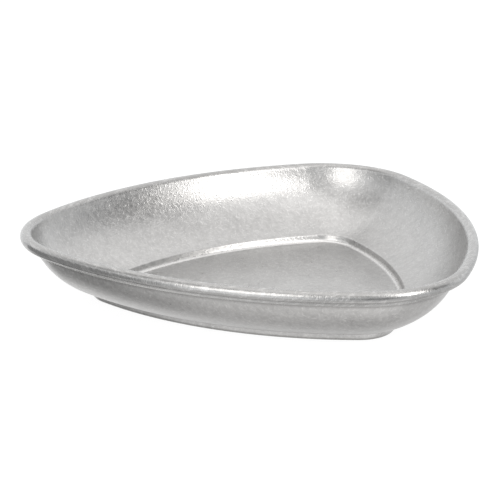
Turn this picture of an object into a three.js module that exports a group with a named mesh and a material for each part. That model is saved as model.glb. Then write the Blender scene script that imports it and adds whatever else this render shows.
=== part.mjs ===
// A shallow three-cornered metal dish: one pressed sheet whose rim is rolled outwards over a wire.
// Millimetres, +Z up. The origin is the centre of the base's underside, on the three-fold axis,
// and one of the three corners points along -X.
import * as THREE from "three";
import { mergeVertices } from "three/addons/utils/BufferGeometryUtils.js";

const degrees = THREE.MathUtils.degToRad;

// Plan. The rim's centreline is three corner arcs and three long side arcs, each tangent to the next.
const CORNERS = 3;
const FIRST_CORNER = Math.PI; // the way that the first corner points
const CORNER_REACH = 78; // from the dish's axis to each corner arc's centre
const CORNER_RADIUS = 55;
const CORNER_HALF_TURN = degrees(36);

// Section. The sheet has an even thickness from the flat floor to the raw edge of the rolled rim.
const HEIGHT = 39; // from the table to the top of the rim
const SHEET = 0.8;
const ROLL_RADIUS = 3.25; // outside of the rolled rim
const ROLL_END = degrees(-200); // where the sheet heads as it leaves the roll, having passed underneath
const LIP_BEND = 1.5; // turns the raw edge down beside the wall
const LIP_LENGTH = 1.8;
const HIGH_WALL_RADIUS = 42.2;
const LOW_WALL_RADIUS = 55.8;
const HIGH_WALL_SLOPE = degrees(75.4);
const MIDDLE_WALL_SLOPE = degrees(40); // where the two wall arcs meet
const LOW_WALL_SLOPE = degrees(18.6);
const STEP_SLOPE = degrees(72); // the short face between the wall and the floor
const STEP_TOP_BEND = 0.9;
const STEP_FOOT_BEND = 3;

// The wire that the rim is rolled over.
const WIRE_RADIUS = 2.05;
const WIRE_BUTT_GAP = 0.4; // between the wire's two ends, in the middle of the side that faces +X

// Facets.
const TURN_STEPS = 60; // round the dish
const WIRE_SIDES = 8;
const BEND_STEPS = 2; // in each small bend
const LOW_WALL_STEPS = 3;
const HIGH_WALL_STEPS = 4;
const ROLL_STEPS = 9;

const rollMiddle = ROLL_RADIUS - SHEET / 2;
const rimHeight = HEIGHT - ROLL_RADIUS;
const cornerPitch = (2 * Math.PI) / CORNERS;
const sideHalfTurn = cornerPitch / 2 - CORNER_HALF_TURN;
const halfSide = CORNER_REACH * Math.sin(cornerPitch / 2);
const sideRadius = CORNER_RADIUS + halfSide / Math.sin(sideHalfTurn);
const sideCentreReach = halfSide / Math.tan(sideHalfTurn) - CORNER_REACH * Math.cos(cornerPitch / 2);

const unit = (angle) => new THREE.Vector2(Math.cos(angle), Math.sin(angle));

// The point of the rim's centreline that faces a given way, moved outwards by a distance.
function planPoint(facing, outwards = 0) {
  const corner = FIRST_CORNER + cornerPitch * Math.round((facing - FIRST_CORNER) / cornerPitch);
  const fromCorner = facing - corner;
  if (Math.abs(fromCorner) <= CORNER_HALF_TURN) {
    return unit(corner).multiplyScalar(CORNER_REACH).addScaledVector(unit(facing), CORNER_RADIUS + outwards);
  }
  const side = corner + (Math.sign(fromCorner) * cornerPitch) / 2;
  return unit(side).multiplyScalar(-sideCentreReach).addScaledVector(unit(facing), sideRadius + outwards);
}

// The middle of the sheet in section, from the floor's edge to the raw edge. X is the distance
// outwards from the rim's centreline and Y is the height.
function sheetMiddle() {
  const runOf = (radius, from, to) => radius * (Math.sin(to) - Math.sin(from));
  const riseOf = (radius, from, to) => radius * (Math.cos(from) - Math.cos(to));
  const wallRise =
    riseOf(LOW_WALL_RADIUS, LOW_WALL_SLOPE, MIDDLE_WALL_SLOPE) +
    riseOf(HIGH_WALL_RADIUS, MIDDLE_WALL_SLOPE, HIGH_WALL_SLOPE);
  const wallRun =
    runOf(LOW_WALL_RADIUS, LOW_WALL_SLOPE, MIDDLE_WALL_SLOPE) +
    runOf(HIGH_WALL_RADIUS, MIDDLE_WALL_SLOPE, HIGH_WALL_SLOPE);
  const wallTop = new THREE.Vector2(
    -rollMiddle * Math.sin(HIGH_WALL_SLOPE),
    rimHeight + rollMiddle * Math.cos(HIGH_WALL_SLOPE),
  );
  const bendsRise =
    riseOf(STEP_FOOT_BEND, 0, STEP_SLOPE) +
    riseOf(-STEP_TOP_BEND, STEP_SLOPE, LOW_WALL_SLOPE);
  const bendsRun =
    runOf(STEP_FOOT_BEND, 0, STEP_SLOPE) +
    runOf(-STEP_TOP_BEND, STEP_SLOPE, LOW_WALL_SLOPE);
  const stepRise = wallTop.y - wallRise - bendsRise - SHEET / 2;
  const stepFace = stepRise / Math.sin(STEP_SLOPE);

  const stretches = [];
  const end = new THREE.Vector2(wallTop.x - wallRun - bendsRun - stepRise / Math.tan(STEP_SLOPE), SHEET / 2);
  let heading = 0;
  const straight = (length) => {
    const start = end.clone();
    end.addScaledVector(unit(heading), length);
    stretches.push({ curve: new THREE.LineCurve(start, end.clone()), steps: 1 });
  };
  const bend = (nextHeading, radius, steps) => {
    const clockwise = nextHeading < heading;
    const toCentre = heading + (clockwise ? -Math.PI / 2 : Math.PI / 2);
    const fromCentre = toCentre + Math.PI;
    const centre = end.clone().addScaledVector(unit(toCentre), radius);
    const turned = nextHeading - heading;
    const curve = new THREE.ArcCurve(centre.x, centre.y, radius, fromCentre, fromCentre + turned, clockwise);
    stretches.push({ curve, steps });
    end.copy(curve.getPoint(1));
    heading = nextHeading;
  };
  bend(STEP_SLOPE, STEP_FOOT_BEND, BEND_STEPS);
  straight(stepFace);
  bend(LOW_WALL_SLOPE, STEP_TOP_BEND, BEND_STEPS);
  bend(MIDDLE_WALL_SLOPE, LOW_WALL_RADIUS, LOW_WALL_STEPS);
  bend(HIGH_WALL_SLOPE, HIGH_WALL_RADIUS, HIGH_WALL_STEPS);
  bend(ROLL_END, rollMiddle, ROLL_STEPS);
  bend(HIGH_WALL_SLOPE - Math.PI, LIP_BEND, BEND_STEPS);
  straight(LIP_LENGTH);
  return stretches;
}

// One face of the sheet in section: side is -1 for the underside and 1 for the top.
function sheetFace(stretches, side) {
  const face = [];
  for (const { curve, steps } of stretches) {
    for (let step = face.length ? 1 : 0; step <= steps; step++) {
      const along = curve.getTangent(step / steps);
      const across = new THREE.Vector2(-along.y, along.x);
      face.push(curve.getPoint(step / steps).addScaledVector(across, (side * SHEET) / 2));
    }
  }
  return face;
}

// A profile given from the rim's centreline, turned round the dish. It is turned first about
// a circle, and each of its points is then moved to the dish's own outline.
function turnRoundDish(profile) {
  const circle = 1000; // any radius larger than the dish's works
  const onCircle = profile.map(({ onAxis, x, y }) => new THREE.Vector2(onAxis ? 0 : x + circle, y));
  const lathe = new THREE.LatheGeometry(onCircle, TURN_STEPS).rotateX(Math.PI / 2);
  lathe.deleteAttribute("normal");
  lathe.deleteAttribute("uv");
  const geometry = mergeVertices(lathe);
  const position = geometry.attributes.position;
  for (let i = 0; i < position.count; i++) {
    const x = position.getX(i);
    const y = position.getY(i);
    const fromAxis = Math.hypot(x, y);
    if (fromAxis < circle / 2) continue;
    const moved = planPoint(Math.atan2(y, x), fromAxis - circle);
    position.setXY(i, moved.x, moved.y);
  }
  geometry.computeVertexNormals();
  return geometry;
}

function pressedDish() {
  const stretches = sheetMiddle();
  const profile = [
    { onAxis: true, y: 0 },
    ...sheetFace(stretches, -1),
    ...sheetFace(stretches, 1).reverse(),
    { onAxis: true, y: SHEET },
  ];
  return turnRoundDish(profile);
}

// The rim's centreline as a curve in space, less the gap between the wire's ends.
class WireLine extends THREE.Curve {
  getPoint(t, target = new THREE.Vector3()) {
    const halfGap = WIRE_BUTT_GAP / 2 / sideRadius;
    const { x, y } = planPoint(THREE.MathUtils.lerp(halfGap, 2 * Math.PI - halfGap, t));
    return target.set(x, y, rimHeight);
  }

  // Steps are even in turning and not in length, as the dish's are.
  getUtoTmapping(u) {
    return u;
  }
}

function rimWire() {
  const section = new THREE.Shape().absarc(0, 0, WIRE_RADIUS, 0, 2 * Math.PI);
  const sides = section.extractPoints(WIRE_SIDES).shape;
  return new THREE.ExtrudeGeometry(new THREE.Shape(sides), {
    steps: TURN_STEPS,
    extrudePath: new WireLine(),
    bevelEnabled: false,
  });
}

function named(name, geometry, material) {
  const mesh = new THREE.Mesh(geometry, material);
  mesh.name = name;
  return mesh;
}

const satinSteel = new THREE.MeshStandardMaterial({ color: 0xb8b8b4, roughness: 0.42, metalness: 1 });
const drawnWire = new THREE.MeshStandardMaterial({ color: 0x9a9a98, roughness: 0.35, metalness: 1 });

const dish = new THREE.Group();
dish.add(named("pressed_dish", pressedDish(), satinSteel));
dish.add(named("rim_wire", rimWire(), drawnWire));

export default dish;
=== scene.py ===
"""The looks of a shallow three-cornered steel dish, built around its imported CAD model.

Everything is in metres in the CAD frame: +Z up, the origin under the middle of the base,
one corner towards -X.
"""

import math

import bpy
import numpy as np
from mathutils import Matrix, Vector, noise


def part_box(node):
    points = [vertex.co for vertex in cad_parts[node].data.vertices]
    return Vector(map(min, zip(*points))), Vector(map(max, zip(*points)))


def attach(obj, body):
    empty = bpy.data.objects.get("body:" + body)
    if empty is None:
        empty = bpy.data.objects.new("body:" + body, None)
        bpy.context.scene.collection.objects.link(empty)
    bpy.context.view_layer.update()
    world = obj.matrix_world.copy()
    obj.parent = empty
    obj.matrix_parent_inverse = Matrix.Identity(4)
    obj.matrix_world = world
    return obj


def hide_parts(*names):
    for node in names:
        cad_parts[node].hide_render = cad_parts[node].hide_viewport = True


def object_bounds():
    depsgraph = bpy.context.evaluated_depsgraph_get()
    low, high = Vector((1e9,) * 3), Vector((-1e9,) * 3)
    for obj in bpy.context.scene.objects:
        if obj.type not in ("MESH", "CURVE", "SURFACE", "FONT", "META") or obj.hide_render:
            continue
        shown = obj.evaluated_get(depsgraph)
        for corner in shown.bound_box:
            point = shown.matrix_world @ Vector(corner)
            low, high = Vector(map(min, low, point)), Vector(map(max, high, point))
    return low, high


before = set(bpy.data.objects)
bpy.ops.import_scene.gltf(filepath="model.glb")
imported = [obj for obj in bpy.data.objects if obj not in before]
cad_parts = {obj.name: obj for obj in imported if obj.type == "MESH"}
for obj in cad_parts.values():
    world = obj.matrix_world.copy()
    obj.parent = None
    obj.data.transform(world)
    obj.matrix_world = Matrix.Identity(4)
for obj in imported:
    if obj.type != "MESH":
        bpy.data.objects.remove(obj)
cad_low, cad_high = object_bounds()

MM = 0.001
TURN = 2 * math.pi

# The sheet's section, as in the CAD source.
SHEET = 0.8 * MM
ROLL_RADIUS = 3.25 * MM
ROLL_END = math.radians(-200)
LIP_BEND = 1.5 * MM
LIP_LENGTH = 1.8 * MM
HIGH_WALL_RADIUS = 42.2 * MM
LOW_WALL_RADIUS = 55.8 * MM
HIGH_WALL_SLOPE = math.radians(75.4)
MIDDLE_WALL_SLOPE = math.radians(40)
LOW_WALL_SLOPE = math.radians(18.6)
STEP_SLOPE = math.radians(72)
STEP_TOP_BEND = 0.9 * MM
STEP_FOOT_BEND = 3.0 * MM

# The plan has three corners and three long sides.
CORNER_PITCH = math.radians(120)
CORNER_HALF_TURN = math.radians(36)
FIRST_CORNER = math.pi
WIRE_BUTT_GAP = 0.4 * MM

# How finely the meshes are divided.
TURN_STEPS = 360
WALL_STEP = 1.2 * MM
BEND_STEP = 0.35 * MM
LEAST_BEND_STEPS = 6
EDGE_STEPS = 8
FLOOR_RINGS = 14
FIRST_FLOOR_RING = 0.3
WIRE_SIDES = 24
WIRE_SHARP_ANGLE = math.radians(40)

# What the press left: the sheet is not quite true.
FLOOR_CROWN = 0.25 * MM
WAVE_HEIGHT = 0.07 * MM
WAVE_LENGTH = 38 * MM
WAVE_SLICE = 0.37
WAVE_RISE = 8 * MM

# How far each place was rolled, how much painted highlight it has (partly a rubbed bare edge) and how
# much painted shade, kept on the mesh under these names.
WEAR_AND_PAINTED_LIGHT = ("rolled", "rub_and_highlight", "painted_shade")
ROLL_FADE = 2 * MM  # from the wall's top
# Painted highlight on the raw edge and the lip near it, partly a rubbed bare edge, and on the foot bend's
# upper face.
LIP_RUB_HIGHLIGHT = 0.8
LIP_HIGHLIGHT_FADE = 1.2 * MM  # from the raw edge
EDGE_HIGHLIGHT_MIDDLE = math.radians(195)  # the raw edge's painted highlight is brightest near one corner
EDGE_HIGHLIGHT_CORE = math.radians(25)
EDGE_HIGHLIGHT_END = math.radians(52)
EDGE_HIGHLIGHT_LEAST = 0.08
FOOT_HIGHLIGHT = 0.4
FOOT_HIGHLIGHT_FADE = math.radians(20)
# Painted shade: the gap under the roll, the inside of the roll, the outer wall just under the lip (fading
# down it) and the foot's underside are darkened towards a dark grey.
LIP_SHADE_FADE = 2.4 * MM  # down the wall from the lip
TUCK_START = math.radians(-145)
TUCK_FADE = math.radians(35)
FOOT_SHADE = 0.5

# The steel's finish.
MARK_LAYERS = (  # spacing, length, width, shift between layers
    (2.2 * MM, 3.0 * MM, 1.15 * MM, 3.1),
    (2.8 * MM, 4.0 * MM, 1.25 * MM, 11.7),
    (3.5 * MM, 5.2 * MM, 1.25 * MM, 23.9),
)
MARK_STRETCH = (0.3, 1)  # the shortest and the longest marks of a layer, in shares of its length
MARK_DEPTHS = (0.2, 1)
MOTTLE_SCALE = 420
PATCH_SCALE = 240
CLOUD_SCALE = 55
GRAIN_SCALE = 3200
STREAK_WIDTH = 1.1 * MM
STREAKS_ROUND = 16
NOISE_SPREAD = (0.3, 0.7)  # where nearly all of a noise lies

# How much each of these adds to the relief, in shares of the bump's depth.
BUMP_DEPTH = 0.05 * MM
MARK_RELIEF = -0.75
MOTTLE_RELIEF = 0.45
GRAIN_RELIEF = 0.05
STREAK_RELIEF = 0.35
ROLLED_FLAT = 0.45  # how much of the relief the rolling takes away

# How much each of these adds to the steel's shade, from nought for the dark grey to one for the light.
MIDDLE_SHADE = 0.43
MARK_SHADE = 0.3
MOTTLE_SHADE = 0.1
PATCH_SHADE = 0.12
CLOUD_SHADE = 0.1
STREAK_SHADE = 0.4
ROLLED_SHADE = -0.45

# How much of a place with painted highlight is near-white bare metal, over the mottle, and how much of a
# place with painted shade is dark.
BARED_HIGHLIGHT_SHARES = (0.8, 1)
PAINTED_SHADE_SHARE = 0.95

# How rough the steel is over the mottle, and how much each of the others adds to that.
MOTTLE_ROUGHNESS = (0.24, 0.34)
CLOUD_ROUGHNESS = 0.08
RUBBED_ROUGHNESS = -0.08
ROLLED_ROUGHNESS = -0.05
DARK_STEEL = (0.381, 0.38, 0.378, 1)
LIGHT_STEEL = (0.602, 0.6, 0.597, 1)
# Painted highlight colour for the raw edge and the foot bend, partly bare rubbed metal.
BARE_HIGHLIGHT_STEEL = (0.93, 0.925, 0.915, 1)
# Painted shade colour for under the roll, under the lip and the foot's underside.
PAINTED_SHADE_STEEL = (0.2, 0.198, 0.195, 1)
DARK_WIRE = (0.42, 0.42, 0.41, 1)
LIGHT_WIRE = (0.6, 0.6, 0.59, 1)
WIRE_FILM_SCALE = 260
WIRE_GRAIN_SCALE = 2400
WIRE_BUMP_DEPTH = 0.03 * MM
WIRE_BUMP_STRENGTH = 0.3
WIRE_ROUGHNESS = (0.3, 0.45)

# The camera, as the photograph was taken.
CAMERA_AZIMUTH = math.radians(-5.76)
CAMERA_ELEVATION = math.radians(17.365)
CAMERA_DISTANCE = 1.224
AIM_RIGHT = 1.3 * MM
AIM_UP = 4.5 * MM
SENSOR = 36.0
FOCAL_LENGTH = 160.4
CAMERA_REACH = 30

# The studio. Azimuths are turned from straight behind the dish towards the camera's right.
FLOOR_SIZE = 12.0
FLOOR_COLOUR = (0.15, 0.15, 0.15, 1)
FLOOR_GLOW = 0.92
TENT_LEVEL = 1.24
TENT_DARKEST = 0.05
TENT_HORIZON_COLOUR = (0.79, 0.799, 0.806, 1)
TENT_POLE_COLOUR = (0.812, 0.8, 0.789, 1)
TENT_PATCHES = (  # azimuth, elevation, inner and outer half-width in degrees, added brightness
    (0, 80, 10, 55, 0.15),
    (180, 84, 5, 30, 0.28),
    (134, 57, 6, 30, 0.62),
    (78, 62, 8, 26, -0.16),
    (-70, 68, 6, 28, 0.22),
    (-165, 68, 5, 20, 0.16),
    (-8, 20, 29, 85, 0.3),
    (24, 14, 8, 36, -0.08),
    (32, -12, 5, 22, -0.3),
    (5, -24, 4, 18, -0.15),
    (101, 27, 6, 31, -0.87),
    (176, 38, 5, 18, -0.38),
    (80, 38, 3, 16, 0.2),
    (-91, 46, 6, 23, -0.55),
    (-115, 27, 3, 18, 0.28),
    (-95, -11, 6, 36, -1.0),
    (-56, -45, 5, 27, -0.65),
    (-48, -41, 3, 13, -0.35),
    (-80, -50, 4, 22, -0.2),
    (163, -7, 8, 27, -0.8),
    (-150, -15, 6, 25, 0.85),
    (20, -60, 4, 43, -0.35),
    (-30, -76, 6, 30, -0.14),
    (88, -38, 6, 24, -0.25),
    (178, -47, 4, 18, -0.2),
    (140, -64, 8, 28, 0.24),
)
LAMP_COLOUR = (1.0, 0.975, 0.945)
SOFTBOXES = (  # name, azimuth, elevation, distance, width, height, brightness
    ("key_softbox", 127, 27, 1.3, 0.54, 0.84, 3.95),
    ("fill_softbox", -151, 23.5, 1.3, 0.74, 0.8, 2.1),
)
FLAGS = (  # name, azimuth, elevation, distance, width, height, brightness
    ("left_flag", -95, -2, 0.3, 0.3, 0.16, 0.42),
)


# ---------------------------------------------------------------- plan and section


def plan_from_frame():
    """The outline's corner reach and radius, the rim's height and the wire's radius."""
    low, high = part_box("rim_wire")
    wire_radius = (high[2] - low[2]) / 2
    rim_height = (high[2] + low[2]) / 2
    to_corner = -low[0] - wire_radius
    to_flank = high[1] - wire_radius
    reach = (to_corner - to_flank) / (1 - math.sin(CORNER_PITCH / 2))
    return reach, to_corner - reach, rim_height, wire_radius


def plan_points(facing, outwards, reach, radius):
    """Where the rim's centreline faces each given way, moved outwards by a distance."""
    half_side = reach * math.sin(CORNER_PITCH / 2)
    side_half_turn = CORNER_PITCH / 2 - CORNER_HALF_TURN
    side_radius = radius + half_side / math.sin(side_half_turn)
    side_reach = half_side / math.tan(side_half_turn) - reach * math.cos(CORNER_PITCH / 2)
    corner = FIRST_CORNER + CORNER_PITCH * np.round((facing - FIRST_CORNER) / CORNER_PITCH)
    from_corner = facing - corner
    side = corner + np.sign(from_corner) * CORNER_PITCH / 2
    in_corner = np.abs(from_corner) <= CORNER_HALF_TURN
    centre_way = np.where(in_corner, corner, side)
    centre_reach = np.where(in_corner, reach, -side_reach)
    arc_radius = np.where(in_corner, radius, side_radius) + outwards
    x = centre_reach * np.cos(centre_way) + arc_radius * np.cos(facing)
    y = centre_reach * np.sin(centre_way) + arc_radius * np.sin(facing)
    return x, y


def sheet_middle(rim_height):
    """The middle of the sheet in section, as rows of offset from the rim, height, heading and length."""
    roll_middle = ROLL_RADIUS - SHEET / 2

    def run(radius, start, end):
        return radius * (math.sin(end) - math.sin(start))

    def rise(radius, start, end):
        return radius * (math.cos(start) - math.cos(end))

    bends = (
        (STEP_FOOT_BEND, 0, STEP_SLOPE),
        (-STEP_TOP_BEND, STEP_SLOPE, LOW_WALL_SLOPE),
        (LOW_WALL_RADIUS, LOW_WALL_SLOPE, MIDDLE_WALL_SLOPE),
        (HIGH_WALL_RADIUS, MIDDLE_WALL_SLOPE, HIGH_WALL_SLOPE),
    )
    wall_top_offset = -roll_middle * math.sin(HIGH_WALL_SLOPE)
    wall_top_height = rim_height + roll_middle * math.cos(HIGH_WALL_SLOPE)
    step_rise = wall_top_height - SHEET / 2 - sum(rise(*bend) for bend in bends)
    step_run = step_rise / math.tan(STEP_SLOPE)
    at = np.array([wall_top_offset - step_run - sum(run(*bend) for bend in bends), SHEET / 2])
    rows = []
    heading = 0.0
    length = 0.0

    def straight(distance):
        nonlocal at, length
        count = max(1, round(distance / BEND_STEP))
        way = np.array([math.cos(heading), math.sin(heading)])
        for along in np.linspace(0, distance, count, endpoint=False):
            rows.append((*(at + way * along), heading, length + along))
        at = at + way * distance
        length += distance

    def bend(end_heading, radius, step=BEND_STEP):
        nonlocal at, heading, length
        turn = end_heading - heading
        side = math.copysign(1, turn)
        centre = at + side * radius * np.array([-math.sin(heading), math.cos(heading)])
        count = max(LEAST_BEND_STEPS, round(abs(turn) * radius / step))
        for part in np.linspace(0, 1, count + 1):
            now = heading + turn * part
            at = centre + side * radius * np.array([math.sin(now), -math.cos(now)])
            if part < 1:
                rows.append((*at, now, length + abs(turn) * radius * part))
        heading = end_heading
        length += abs(turn) * radius

    bend(STEP_SLOPE, STEP_FOOT_BEND)
    straight(step_rise / math.sin(STEP_SLOPE))
    bend(LOW_WALL_SLOPE, STEP_TOP_BEND)
    bend(MIDDLE_WALL_SLOPE, LOW_WALL_RADIUS, WALL_STEP)
    bend(HIGH_WALL_SLOPE, HIGH_WALL_RADIUS, WALL_STEP)
    bend(ROLL_END, roll_middle)
    bend(HIGH_WALL_SLOPE - math.pi, LIP_BEND)
    straight(LIP_LENGTH)
    rows.append((*at, heading, length))
    return rows


# ---------------------------------------------------------------- meshes


def add_object(name, data):
    """A new object in the scene that holds the given mesh, light or camera."""
    made = bpy.data.objects.new(name, data)
    bpy.context.scene.collection.objects.link(made)
    return made


def sheet_wave(x, y):
    """How far the sheet stands off its true surface at each place in plan."""
    places = zip(x / WAVE_LENGTH, y / WAVE_LENGTH)
    return WAVE_HEIGHT * np.array([noise.noise(Vector((u, v, WAVE_SLICE))) for u, v in places])


def rub_round_rim(facing):
    """How bright the raw edge is all round the dish: partly a rubbed bare edge, partly a painted
    highlight that is brightest near one corner.
    """
    turned = np.abs((facing - EDGE_HIGHLIGHT_MIDDLE + math.pi) % TURN - math.pi)
    return np.clip((EDGE_HIGHLIGHT_END - turned) / (EDGE_HIGHLIGHT_END - EDGE_HIGHLIGHT_CORE), EDGE_HIGHLIGHT_LEAST, 1)


def top_wear(row, middle, facing):
    """How far a row of the sheet's upper face is rolled, and how much painted highlight (partly a rubbed
    bare edge) and painted shade it carries.
    """
    _, _, heading, length = row
    roll_start = max(middle, key=lambda each: each[2])[3]
    raw_edge = middle[-1][3]
    rolled = np.clip((length - roll_start) / ROLL_FADE, 0, 1)
    # Painted highlight: a bright line along the foot bend, and the raw edge and lip near it, partly
    # rubbed bare metal.
    if length < STEP_SLOPE * STEP_FOOT_BEND:
        rub_and_highlight = FOOT_HIGHLIGHT * min(1, heading / FOOT_HIGHLIGHT_FADE)
    elif length > raw_edge:
        rub_and_highlight = rub_round_rim(facing)
    else:
        rub_and_highlight = LIP_RUB_HIGHLIGHT * max(0, 1 - (raw_edge - length) / LIP_HIGHLIGHT_FADE) * rub_round_rim(facing)
    # Painted shade in the gap under the roll, where the sheet turns back down to the lip.
    painted_shade = np.clip((TUCK_START - heading) / TUCK_FADE, 0, 1)
    return rolled, rub_and_highlight, painted_shade


def under_wear(row, middle):
    """How far a row of the sheet's lower face is rolled, and how much painted shade it carries; it gets
    no painted highlight.
    """
    _, height, heading, length = row
    roll_start = max(middle, key=lambda each: each[2])[3]
    lip_height = middle[-1][1]
    rolled = np.clip((length - roll_start) / ROLL_FADE, 0, 1)
    # Painted shade: a painted contact shadow along the foot's underside, the whole inside of the roll,
    # and the outer wall just under the lip, fading downwards.
    if length < STEP_SLOPE * STEP_FOOT_BEND:
        painted_shade = FOOT_SHADE * math.sin(2 * heading) ** 2
    elif length > roll_start:
        painted_shade = 1.0
    else:
        painted_shade = np.clip(1 - (lip_height - height) / LIP_SHADE_FADE, 0, 1)
    return rolled, 0.0, painted_shade


def sheet_rings(reach, radius, rim_height):
    """The sheet's skin as rings of x, y, z, the distance out on the flat blank, side, and how far it is
    rolled with its painted highlight and painted shade.

    The rings run from the middle of the floor's top over the wall and the roll, round the raw edge,
    and back under the roll and the wall to the middle of the floor's underside.
    """
    facing = np.linspace(0, TURN, TURN_STEPS, endpoint=False)
    middle = sheet_middle(rim_height)
    edge_x, edge_y = plan_points(facing, middle[0][0], reach, radius)
    edge_radius = np.hypot(edge_x, edge_y)

    def floor_ring(fraction, side):
        x = edge_x * fraction
        y = edge_y * fraction
        crown = FLOOR_CROWN * (1 - fraction**2) ** 2
        lift = crown + (sheet_wave(x, y) + WAVE_HEIGHT) * (1 - fraction**4)
        height = SHEET / 2 * (1 + side) + lift
        return x, y, height, edge_radius * fraction, side, (0.0, 0.0, 0.0)

    def sheet_ring(row, across, side):
        offset, height, heading, length = row
        wear_and_light = top_wear(row, middle, facing) if side > 0 else under_wear(row, middle)
        x, y = plan_points(facing, offset, reach, radius)
        stand_off = across + sheet_wave(x, y) * min(1, length / WAVE_RISE)
        x = x - stand_off * math.sin(heading) * np.cos(facing)
        y = y - stand_off * math.sin(heading) * np.sin(facing)
        z = height + stand_off * math.cos(heading)
        return x, y, z, edge_radius + length, side, wear_and_light

    fractions = (np.arange(FLOOR_RINGS) + FIRST_FLOOR_RING) / FLOOR_RINGS
    rings = [floor_ring(fraction, 1) for fraction in fractions]
    rings += [sheet_ring(row, SHEET / 2, 1) for row in middle]
    offset, height, heading, length = middle[-1]
    for turn in np.linspace(math.pi / 2, -math.pi / 2, EDGE_STEPS + 1)[1:-1]:
        beyond = SHEET / 2 * math.cos(turn)
        row = (
            offset + beyond * math.cos(heading),
            height + beyond * math.sin(heading),
            heading,
            length + beyond,
        )
        rings.append(sheet_ring(row, SHEET / 2 * math.sin(turn), 1))
    rings += [sheet_ring(row, -SHEET / 2, -1) for row in reversed(middle)]
    rings += [floor_ring(fraction, -1) for fraction in reversed(fractions)]
    return rings


def dish_mesh(reach, radius, rim_height):
    """The pressed sheet as one closed skin, with a UV map that holds each place on the flat blank."""
    rings = sheet_rings(reach, radius, rim_height)
    points = []
    blank = []
    wear_and_light_rows = []
    for x, y, z, out, side, wear_and_light in rings:
        points.append(np.column_stack((x, y, z)))
        away = np.arctan2(y, x)
        blank.append(np.column_stack((out * np.cos(away) + side, out * np.sin(away))))
        wear_and_light_rows.append(np.column_stack([np.broadcast_to(amount, TURN_STEPS) for amount in wear_and_light]))
    for ring in (rings[0], rings[-1]):
        points.append([(0, 0, ring[2].mean())])
        blank.append([(ring[4], 0)])
        wear_and_light_rows.append([(0, 0, 0)])
    points = np.vstack(points)
    blank = np.vstack(blank)
    wear_and_light_rows = np.vstack(wear_and_light_rows)
    top_centre, under_centre = len(points) - 2, len(points) - 1

    here = np.arange(TURN_STEPS)
    after = np.roll(here, -1)
    faces = []
    for ring in range(len(rings) - 1):
        low = ring * TURN_STEPS
        high = low + TURN_STEPS
        faces += np.column_stack((low + here, high + here, high + after, low + after)).tolist()
    last = (len(rings) - 1) * TURN_STEPS
    faces += [(top_centre, i, j) for i, j in zip(here.tolist(), after.tolist())]
    faces += [(under_centre, last + j, last + i) for i, j in zip(here.tolist(), after.tolist())]

    mesh = bpy.data.meshes.new("pressed_dish")
    mesh.from_pydata(points, [], faces)
    loops = np.empty(len(mesh.loops), np.int32)
    mesh.loops.foreach_get("vertex_index", loops)
    blank_map = mesh.uv_layers.new(name="blank")
    blank_map.data.foreach_set("uv", blank[loops].astype(np.float32).ravel())
    for column, name in enumerate(WEAR_AND_PAINTED_LIGHT):
        layer = mesh.attributes.new(name, "FLOAT", "POINT")
        layer.data.foreach_set("value", wear_and_light_rows[:, column].astype(np.float32))
    mesh.shade_smooth()
    return mesh


def wire_mesh(reach, radius, rim_height, wire_radius):
    """One length of round wire along the rim's centreline, with a narrow gap between its square ends."""
    half_gap = WIRE_BUTT_GAP / 2 / (reach + radius)
    facing = np.linspace(half_gap, TURN - half_gap, TURN_STEPS + 1)
    points = []
    for around in np.linspace(0, TURN, WIRE_SIDES, endpoint=False):
        x, y = plan_points(facing, wire_radius * math.cos(around), reach, radius)
        z = np.full(len(facing), rim_height + wire_radius * math.sin(around))
        points.append(np.column_stack((x, y, z)))
    stride = len(facing)
    faces = []
    for side in range(WIRE_SIDES):
        here = side * stride
        after = (side + 1) % WIRE_SIDES * stride
        faces += [(here + i, here + i + 1, after + i + 1, after + i) for i in range(stride - 1)]
    faces.append([side * stride for side in range(WIRE_SIDES)])
    faces.append([side * stride + stride - 1 for side in reversed(range(WIRE_SIDES))])
    mesh = bpy.data.meshes.new("rim_wire")
    mesh.from_pydata(np.vstack(points), [], faces)
    mesh.shade_smooth()
    mesh.set_sharp_from_angle(angle=WIRE_SHARP_ANGLE)
    return mesh


# ---------------------------------------------------------------- node trees


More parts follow.
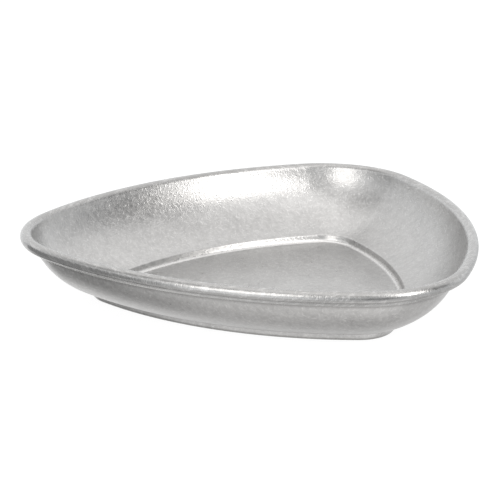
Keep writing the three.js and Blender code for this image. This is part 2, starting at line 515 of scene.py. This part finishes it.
class Tree:
    """A node tree with short ways to add and join nodes. An input takes a value or a socket."""

    def __init__(self, owner):
        owner.use_nodes = True
        self.nodes = owner.node_tree.nodes
        self.links = owner.node_tree.links
        self.nodes.clear()

    def add(self, kind, settings=None, **inputs):
        node = self.nodes.new("ShaderNode" + kind)
        for name, value in (settings or {}).items():
            setattr(node, name, value)
        for name, value in inputs.items():
            self.set(node, name.replace("_", " "), value)
        return node

    def set(self, node, name, value):
        socket = node.inputs[int(name) if name.isdigit() else name]
        if isinstance(value, bpy.types.NodeSocket):
            self.links.new(value, socket)
        else:
            socket.default_value = value

    def math(self, operation, *values, clamp=False):
        node = self.add("Math", {"operation": operation, "use_clamp": clamp})
        for i, value in enumerate(values):
            self.set(node, str(i), value)
        return node.outputs[0]

    def vector(self, operation, *values, output="Vector"):
        node = self.add("VectorMath", {"operation": operation})
        for i, value in enumerate(values):
            self.set(node, str(i), value)
        return node.outputs[output]

    def remap(self, value, from_low, from_high, to_low, to_high, smooth=False):
        node = self.add("MapRange", {"interpolation_type": "SMOOTHSTEP" if smooth else "LINEAR"})
        for name, given in zip(
            ("Value", "From Min", "From Max", "To Min", "To Max"),
            (value, from_low, from_high, to_low, to_high),
        ):
            self.set(node, name, given)
        return node.outputs["Result"]

    def noise(self, vector, scale, detail=2.0):
        node = self.add("TexNoise", Vector=vector, Scale=scale, Detail=detail, Roughness=0.5)
        return node.outputs["Fac"]

    def swing(self, noise, either_way):
        """A noise turned into as much below nought as above it."""
        return self.remap(noise, *NOISE_SPREAD, -either_way, either_way)

    def mix(self, share, colour, other):
        """One colour, and the other over it by a share."""
        return self.add("MixRGB", Fac=share, Color1=colour, Color2=other).outputs[0]


# ---------------------------------------------------------------- materials


def tumbling_marks(tree, place, spacing, length, width, shift):
    """Short straight marks, each turned its own way: one in each cell of a scatter of points."""
    cells = tree.vector("MULTIPLY_ADD", place, (1 / spacing,) * 3, (shift, shift * 1.7, 0))
    scatter = tree.add("TexVoronoi", {"voronoi_dimensions": "2D"}, Vector=cells, Scale=1.0)
    from_point = tree.vector("SUBTRACT", cells, scatter.outputs["Position"])
    chance = tree.add("SeparateColor", Color=scatter.outputs["Color"])
    turned = tree.add("VectorRotate", {"rotation_type": "Z_AXIS"}, Vector=from_point)
    tree.set(turned, "Angle", tree.math("MULTIPLY", chance.outputs[0], TURN))
    parts = tree.add("SeparateXYZ", Vector=turned.outputs[0])
    along = tree.math("ABSOLUTE", parts.outputs[0])
    across = tree.math("ABSOLUTE", parts.outputs[1])
    stretch = tree.remap(chance.outputs[1], 0, 1, *MARK_STRETCH)
    half_length = tree.math("MULTIPLY", stretch, length / 2 / spacing)
    along_fade = tree.remap(tree.math("DIVIDE", along, half_length), 0.5, 1, 1, 0, smooth=True)
    across_fade = tree.remap(across, 0, width / 2 / spacing, 1, 0, smooth=True)
    depth = tree.remap(chance.outputs[2], 0, 1, *MARK_DEPTHS)
    return tree.math("MULTIPLY", tree.math("MULTIPLY", along_fade, across_fade), depth)


def rim_streaks(tree, place):
    """Long fine streaks round the rolled rim, where the forming roller ran."""
    side = tree.math("SIGN", tree.add("SeparateXYZ", Vector=place).outputs[0])
    from_middle = tree.vector("SUBTRACT", place, tree.add("CombineXYZ", X=side).outputs[0])
    out = tree.vector("LENGTH", from_middle, output="Value")
    across = tree.add("CombineXYZ", Z=tree.math("DIVIDE", out, STREAK_WIDTH)).outputs[0]
    round_rim = tree.vector("NORMALIZE", from_middle)
    stretched = tree.vector("MULTIPLY_ADD", round_rim, (STREAKS_ROUND,) * 3, across)
    return tree.noise(stretched, 1.0, detail=2.0)


def steel_height(tree, marks, mottle, grain, streaks, worked):
    """The steel's relief: marks cut in, a mottle and a grain, all flattened by working, then streaks."""
    height = tree.math("MULTIPLY_ADD", marks, MARK_RELIEF, tree.math("MULTIPLY", mottle, MOTTLE_RELIEF))
    height = tree.math("MULTIPLY_ADD", grain, GRAIN_RELIEF, height)
    height = tree.math("MULTIPLY", height, tree.math("SUBTRACT", 1.0, worked))
    return tree.math("MULTIPLY_ADD", streaks, STREAK_RELIEF, height)


def steel_shade(tree, marks, mottle, patches, cloud, streaks, rolled):
    """Where the steel lies between its dark and its light grey."""
    shade = tree.math("MULTIPLY_ADD", marks, MARK_SHADE, tree.swing(mottle, MOTTLE_SHADE))
    shade = tree.math("ADD", shade, tree.swing(patches, PATCH_SHADE))
    shade = tree.math("ADD", shade, tree.swing(cloud, CLOUD_SHADE))
    shade = tree.math("MULTIPLY_ADD", streaks, STREAK_SHADE, shade)
    shade = tree.math("MULTIPLY_ADD", rolled, ROLLED_SHADE, shade)
    return tree.math("ADD", shade, MIDDLE_SHADE, clamp=True)


def steel_colour(tree, shade, mottle, rub_and_highlight, painted_shade):
    """The steel's grey, brightened to near-white as a painted highlight (partly rubbed bare metal) and
    darkened as painted shade under the roll, under the lip and under the foot.
    """
    grey = tree.mix(shade, DARK_STEEL, LIGHT_STEEL)
    bared_and_highlit = tree.math("MULTIPLY", rub_and_highlight, tree.remap(mottle, *NOISE_SPREAD, *BARED_HIGHLIGHT_SHARES))
    painted_shade_amount = tree.math("MULTIPLY", painted_shade, PAINTED_SHADE_SHARE)
    return tree.mix(painted_shade_amount, tree.mix(bared_and_highlit, grey, BARE_HIGHLIGHT_STEEL), PAINTED_SHADE_STEEL)


def steel_roughness(tree, mottle, cloud, rolled, rub_and_highlight):
    """Satin all over, and a little smoother where the steel is rubbed or rolled."""
    satin = tree.remap(mottle, *NOISE_SPREAD, *MOTTLE_ROUGHNESS)
    roughness = tree.math("MULTIPLY_ADD", cloud, CLOUD_ROUGHNESS, satin)
    roughness = tree.math("MULTIPLY_ADD", rub_and_highlight, RUBBED_ROUGHNESS, roughness)
    return tree.math("MULTIPLY_ADD", rolled, ROLLED_ROUGHNESS, roughness)


def tumbled_steel():
    """Sheet steel tumbled to a satin grey: fine marks every way, a mottle, a polish where it rubs, a
    painted highlight on the raw edge and the foot bend, and painted shade under the roll, the lip and the
    foot.
    """
    material = bpy.data.materials.new("tumbled_steel")
    tree = Tree(material)
    place = tree.add("UVMap", {"uv_map": "blank"}).outputs[0]
    marks = tumbling_marks(tree, place, *MARK_LAYERS[0])
    for layer in MARK_LAYERS[1:]:
        marks = tree.math("ADD", marks, tumbling_marks(tree, place, *layer))
    mottle = tree.noise(place, MOTTLE_SCALE, detail=1.5)
    patches = tree.noise(place, PATCH_SCALE, detail=1.0)
    cloud = tree.noise(place, CLOUD_SCALE)
    grain = tree.noise(place, GRAIN_SCALE, detail=1.0)

    # The rolling mask, the painted highlight mask and the painted shade mask.
    rolled, rub_and_highlight, painted_shade = (
        tree.add("Attribute", {"attribute_name": name}).outputs["Fac"] for name in WEAR_AND_PAINTED_LIGHT
    )
    streaked = tree.math("SUBTRACT", rolled, rub_and_highlight, clamp=True)
    streaks = tree.math("MULTIPLY", tree.swing(rim_streaks(tree, place), 1), streaked)
    worked = tree.math("MAXIMUM", rub_and_highlight, tree.math("MULTIPLY", rolled, ROLLED_FLAT))
    height = steel_height(tree, marks, mottle, grain, streaks, worked)
    bump = tree.add("Bump", Strength=1.0, Distance=BUMP_DEPTH, Height=height)
    shade = steel_shade(tree, marks, mottle, patches, cloud, streaks, rolled)
    roughness = steel_roughness(tree, mottle, cloud, rolled, rub_and_highlight)

    shader = tree.add("BsdfPrincipled", Metallic=1.0, Roughness=roughness, Normal=bump.outputs[0])
    tree.set(shader, "Base Color", steel_colour(tree, shade, mottle, rub_and_highlight, painted_shade))
    tree.add("OutputMaterial", Surface=shader.outputs[0])
    return material


def drawn_wire():
    """Drawn steel wire: a fine grain under a thin grey film."""
    material = bpy.data.materials.new("steel_wire")
    tree = Tree(material)
    place = tree.add("TexCoord").outputs["Object"]
    film = tree.noise(place, WIRE_FILM_SCALE, detail=3.0)
    grain = tree.noise(place, WIRE_GRAIN_SCALE, detail=1.0)
    bump = tree.add("Bump", Strength=WIRE_BUMP_STRENGTH, Distance=WIRE_BUMP_DEPTH, Height=grain)
    shader = tree.add("BsdfPrincipled", Metallic=1.0, Normal=bump.outputs[0])
    tree.set(shader, "Base Color", tree.mix(film, DARK_WIRE, LIGHT_WIRE))
    tree.set(shader, "Roughness", tree.remap(film, *NOISE_SPREAD, *WIRE_ROUGHNESS))
    tree.add("OutputMaterial", Surface=shader.outputs[0])
    return material


def floor_paper():
    """Matt paper that glows nearly white by itself, so that the dish's shadow stays faint."""
    material = bpy.data.materials.new("floor_paper")
    tree = Tree(material)
    shader = tree.add("BsdfPrincipled", Roughness=1.0)
    tree.set(shader, "Base Color", FLOOR_COLOUR)
    tree.set(shader, "Specular IOR Level", 0.0)
    tree.set(shader, "Emission Color", (1, 1, 1, 1))
    tree.set(shader, "Emission Strength", FLOOR_GLOW)
    tree.add("OutputMaterial", Surface=shader.outputs[0])
    return material


# ---------------------------------------------------------------- studio


def camera_axes():
    """Right, up and forward of the camera."""
    sin_a, cos_a = math.sin(-CAMERA_AZIMUTH), math.cos(-CAMERA_AZIMUTH)
    sin_e, cos_e = math.sin(CAMERA_ELEVATION), math.cos(CAMERA_ELEVATION)
    right = Vector((cos_a, -sin_a, 0))
    up = Vector((sin_e * sin_a, sin_e * cos_a, cos_e))
    forward = Vector((cos_e * sin_a, cos_e * cos_a, -sin_e))
    return right, up, forward


def studio_way(azimuth, elevation):
    """A unit vector from the dish, by degrees from straight behind it towards the camera's right."""
    right, _, forward = camera_axes()
    behind = Vector((forward.x, forward.y, 0)).normalized()
    a, e = math.radians(azimuth), math.radians(elevation)
    return (behind * math.cos(a) + right * math.sin(a)) * math.cos(e) + Vector((0, 0, math.sin(e)))


def add_camera(centre):
    """The photograph's camera, aimed a little off the dish's middle."""
    right, up, forward = camera_axes()
    data = bpy.data.cameras.new("camera")
    data.sensor_width = SENSOR
    data.lens = FOCAL_LENGTH
    data.clip_end = CAMERA_REACH
    camera = add_object("camera", data)
    aim = centre + right * AIM_RIGHT + up * AIM_UP
    turned = Matrix((right, up, -forward)).transposed().to_4x4()
    camera.matrix_world = Matrix.Translation(aim - forward * CAMERA_DISTANCE) @ turned
    bpy.context.scene.camera = camera


def add_card(name, width, height, material):
    """A flat rectangle that faces up, at the origin."""
    x, y = width / 2, height / 2
    mesh = bpy.data.meshes.new(name)
    mesh.from_pydata([(-x, -y, 0), (x, -y, 0), (x, y, 0), (-x, y, 0)], [], [(0, 1, 2, 3)])
    mesh.materials.append(material)
    return add_object(name, mesh)


def add_floor():
    """The paper the dish stands on, which its polish doesn't show."""
    floor = add_card("floor", FLOOR_SIZE, FLOOR_SIZE, floor_paper())
    floor.visible_glossy = False
    floor.visible_shadow = False


def add_softboxes(centre):
    """Wide soft lamps, each turned to the dish."""
    for name, azimuth, elevation, distance, width, height, brightness in SOFTBOXES:
        data = bpy.data.lights.new(name, "AREA")
        data.shape = "RECTANGLE"
        data.size = width
        data.size_y = height
        data.energy = math.pi * width * height * brightness
        data.color = LAMP_COLOUR
        lamp = add_object(name, data)
        way = studio_way(azimuth, elevation)
        lamp.location = centre + way * distance
        lamp.rotation_euler = way.to_track_quat("Z", "Y").to_euler()
        lamp.visible_camera = False


def flag_card(brightness):
    """Dull card that shows in the dish's polish as an even grey."""
    material = bpy.data.materials.new("flag_card")
    tree = Tree(material)
    glow = tree.add("Emission", Strength=brightness)
    tree.add("OutputMaterial", Surface=glow.outputs[0])
    return material


def add_flags(centre):
    """Cards that only the metal's reflections see."""
    for name, azimuth, elevation, distance, width, height, brightness in FLAGS:
        flag = add_card(name, width, height, flag_card(brightness))
        way = studio_way(azimuth, elevation)
        flag.location = centre + way * distance
        flag.rotation_euler = way.to_track_quat("Z", "Y").to_euler()
        flag.visible_camera = False
        flag.visible_diffuse = False
        flag.visible_shadow = False


def add_tent():
    """A white tent all round the dish: an even light with softly edged lighter and darker patches."""
    world = bpy.data.worlds.new("tent")
    bpy.context.scene.world = world
    tree = Tree(world)
    way = tree.add("TexCoord").outputs["Generated"]
    level = TENT_LEVEL
    for azimuth, elevation, inner, outer, added in TENT_PATCHES:
        near = tree.vector("DOT_PRODUCT", way, tuple(studio_way(azimuth, elevation)), output="Value")
        edge, core = math.cos(math.radians(outer)), math.cos(math.radians(inner))
        level = tree.math("ADD", tree.remap(near, edge, core, 0, added, smooth=True), level)
    height = tree.math("ABSOLUTE", tree.add("SeparateXYZ", Vector=way).outputs[2])
    colour = tree.mix(height, TENT_HORIZON_COLOUR, TENT_POLE_COLOUR)
    background = tree.add("Background", Color=colour)
    tree.set(background, "Strength", tree.math("MAXIMUM", level, TENT_DARKEST))
    tree.add("OutputWorld", Surface=background.outputs[0])


# ---------------------------------------------------------------- the scene


def add_piece(name, mesh, material, node):
    """A piece of the dish, in place of its CAD node."""
    mesh.materials.append(material)
    piece = add_object(name, mesh)
    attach(piece, "root")
    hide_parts(node)


centre = (Vector(cad_low) + Vector(cad_high)) / 2
reach, radius, rim_height, wire_radius = plan_from_frame()

dish = dish_mesh(reach, radius, rim_height)
add_piece("dish_skin", dish, tumbled_steel(), "pressed_dish")
wire = wire_mesh(reach, radius, rim_height, wire_radius)
add_piece("wire_skin", wire, drawn_wire(), "rim_wire")

add_camera(centre)
add_floor()
add_softboxes(centre)
add_flags(centre)
add_tent()
bpy.context.scene.view_settings.view_transform = "Standard"
